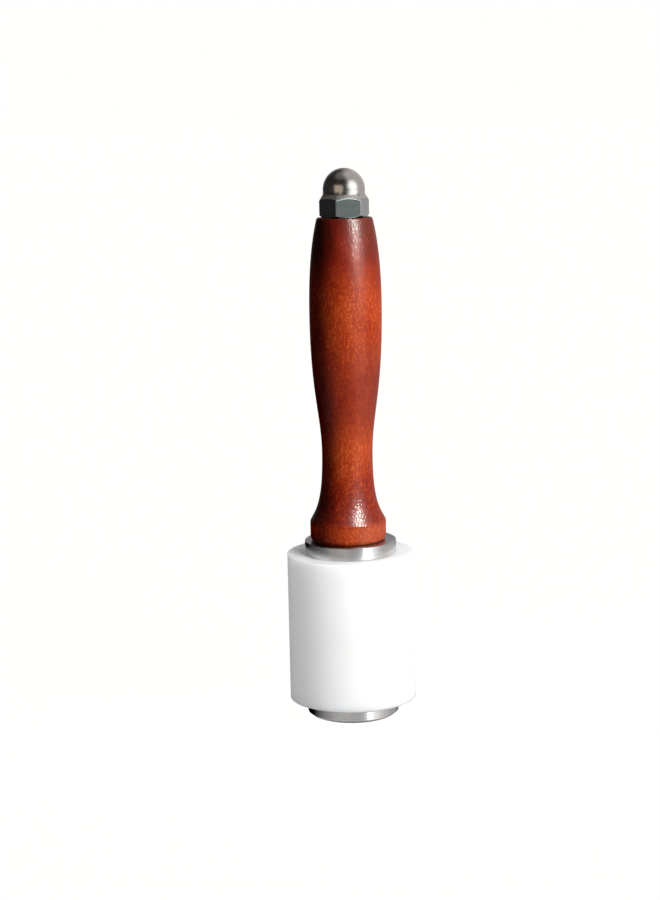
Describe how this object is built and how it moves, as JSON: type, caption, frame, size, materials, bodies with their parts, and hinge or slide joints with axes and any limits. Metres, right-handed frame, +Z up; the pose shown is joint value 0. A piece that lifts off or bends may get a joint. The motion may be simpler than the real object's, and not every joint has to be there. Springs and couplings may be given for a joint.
{
  "type": "leather carving mallet",
  "caption": "Straight leather carving mallet: white nylon cylinder head between steel discs, waisted stained wood handle and a domed cap nut on one threaded stud.",
  "frame": {"origin": "centre of the foot disc's underside, on the stud's axis, where the mallet stands", "axes": "+Z up the stud towards the cap nut, -Y towards the picture's camera, +X to its right"},
  "size_m": [0.05, 0.05, 0.2153],
  "materials": {
    "turned_steel": "turned stainless steel, satin, with fine turning marks",
    "stud_steel": "plain rolled steel with cut threads",
    "white_nylon": "white nylon, satin, slightly translucent",
    "stained_wood": "close-grained hardwood, red-brown stain under gloss lacquer",
    "nut_steel": "dull steel with bright edges",
    "dome_steel": "polished steel"
  },
  "bodies": {
    "head": {"foot_disc": "turned_steel", "tie_rod": "stud_steel", "nylon_head": "white_nylon", "collar_disc": "turned_steel"},
    "handle": {"handle": "stained_wood"},
    "cap_nut": {"cap_nut_hex": "nut_steel", "cap_nut_dome": "dome_steel"}
  },
  "joints": [
    {"name": "handle_lift", "type": "slide", "parent": "head", "child": "handle", "axis": [0, 0, 1], "range_m": [0, 0.012]},
    {"name": "cap_nut_turn", "type": "hinge", "parent": "handle", "child": "cap_nut", "pos_m": [0, 0, 0.1965], "axis": [0, 0, 1], "range_deg": [0, 2880]}
  ],
  "couplings": [
    {"joint": "cap_nut_turn", "follows": "handle_lift", "rad_per_m": 4188.8}
  ]
}
